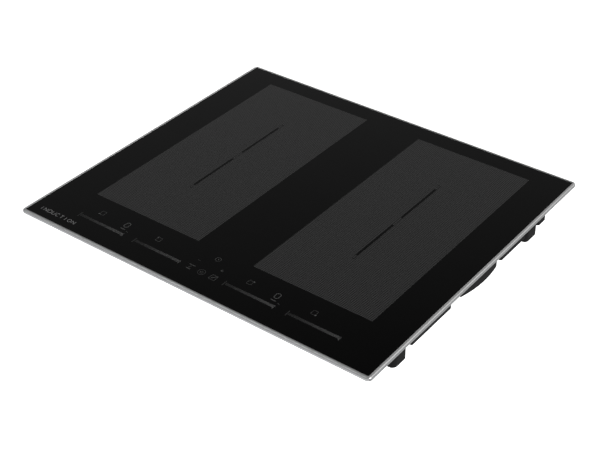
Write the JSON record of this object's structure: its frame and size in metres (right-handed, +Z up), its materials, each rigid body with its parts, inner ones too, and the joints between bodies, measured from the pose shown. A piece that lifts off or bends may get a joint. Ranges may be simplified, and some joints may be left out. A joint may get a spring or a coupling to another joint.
{
  "type": "induction cooktop",
  "caption": "Built-in induction cooktop: black glass-ceramic plate with two long cooking zones and touch sliders, thin metal trim, stepped plastic base tray.",
  "frame": {"origin": "centre of the footprint, at the lowest face of the base tray", "axes": "+X to the user's right, +Y from the user to the rear, +Z up out of the glass"},
  "size_m": [0.59, 0.52, 0.058],
  "materials": {
    "ceramic_glass": "polished black glass-ceramic",
    "trim_aluminium": "fine satin anodised",
    "seal_rubber": "matt foam rubber",
    "tray_plastic": "fine moulded grain",
    "terminal_plastic": "moulded",
    "screw_steel": "zinc plated",
    "sheet_aluminium": "rolled sheet",
    "silicone": "matt silicone",
    "contact_brass": "tinned",
    "lead_sleeve": "glass-fibre sleeve",
    "black_lead": "smooth sheath",
    "carrier_plastic": "moulded",
    "coil_copper": "stranded copper",
    "ferrite": "sintered",
    "mica": "pressed mica",
    "board_green": "solder mask",
    "package_black": "moulded epoxy",
    "capacitor_case": "moulded box",
    "choke_copper": "enamelled copper",
    "fan_plastic": "moulded",
    "motor_steel": "stacked steel",
    "relay_case": "moulded box",
    "touch_frame": "moulded",
    "foam_pad": "conductive foam",
    "clear_guide": "clear moulding",
    "ribbon": "flat cable"
  },
  "bodies": {
    "cooktop": {"base_tray": "tray_plastic", "board_screws": "screw_steel", "buzzer": "package_black", "choke_left": "choke_copper", "choke_right": "choke_copper", "coil_carrier_front_left": "carrier_plastic", "coil_carrier_front_right": "carrier_plastic", "coil_carrier_rear_left": "carrier_plastic", "coil_carrier_rear_right": "carrier_plastic", "coil_connectors": "contact_brass", "coil_deck": "sheet_aluminium", "coil_leads": "lead_sleeve", "coil_pads": "silicone", "coil_winding_front_left": "coil_copper", "coil_winding_front_right": "coil_copper", "coil_winding_rear_left": "coil_copper", "coil_winding_rear_right": "coil_copper", "deck_screws": "screw_steel", "fan_housing_left": "fan_plastic", "fan_housing_right": "fan_plastic", "fan_motor_left": "motor_steel", "fan_motor_right": "motor_steel", "ferrite_bars_front_left": "ferrite", "ferrite_bars_front_right": "ferrite", "ferrite_bars_rear_left": "ferrite", "ferrite_bars_rear_right": "ferrite", "film_capacitors_left": "capacitor_case", "film_capacitors_right": "capacitor_case", "filter_board": "board_green", "filter_capacitors": "capacitor_case", "glass_bond": "seal_rubber", "glass_plate": "ceramic_glass", "heat_sink_left": "sheet_aluminium", "heat_sink_right": "sheet_aluminium", "insulation_mat_front_left": "mica", "insulation_mat_front_right": "mica", "insulation_mat_rear_left": "mica", "insulation_mat_rear_right": "mica", "mains_choke": "choke_copper", "mains_lead": "black_lead", "mains_relay": "relay_case", "power_board_left": "board_green", "power_board_right": "board_green", "power_transistors_left": "package_black", "power_transistors_right": "package_black", "ribbon_cable": "ribbon", "slider_light_guides": "clear_guide", "temperature_sensors": "silicone", "terminal_block": "terminal_plastic", "terminal_screws": "screw_steel", "touch_board": "board_green", "touch_carrier": "touch_frame", "touch_pads": "foam_pad", "touch_screws": "screw_steel", "trim_frame": "trim_aluminium", "worktop_seal": "seal_rubber"},
    "left_wheel": {"fan_wheel_left": "fan_plastic"},
    "right_wheel": {"fan_wheel_right": "fan_plastic"},
    "cover": {"terminal_cover": "tray_plastic"}
  },
  "joints": [
    {"name": "left_fan_spin", "type": "hinge", "parent": "cooktop", "child": "left_wheel", "pos_m": [-0.214, 0.047, 0.012], "axis": [0, 0, 1], "continuous": true},
    {"name": "right_fan_spin", "type": "hinge", "parent": "cooktop", "child": "right_wheel", "pos_m": [0.214, 0.047, 0.012], "axis": [0, 0, 1], "continuous": true},
    {"name": "cover_hinge", "type": "hinge", "parent": "cooktop", "child": "cover", "pos_m": [-0.169, 0.146, 0.0032], "axis": [-1, 0, 0], "range_deg": [0, 95]}
  ]
}
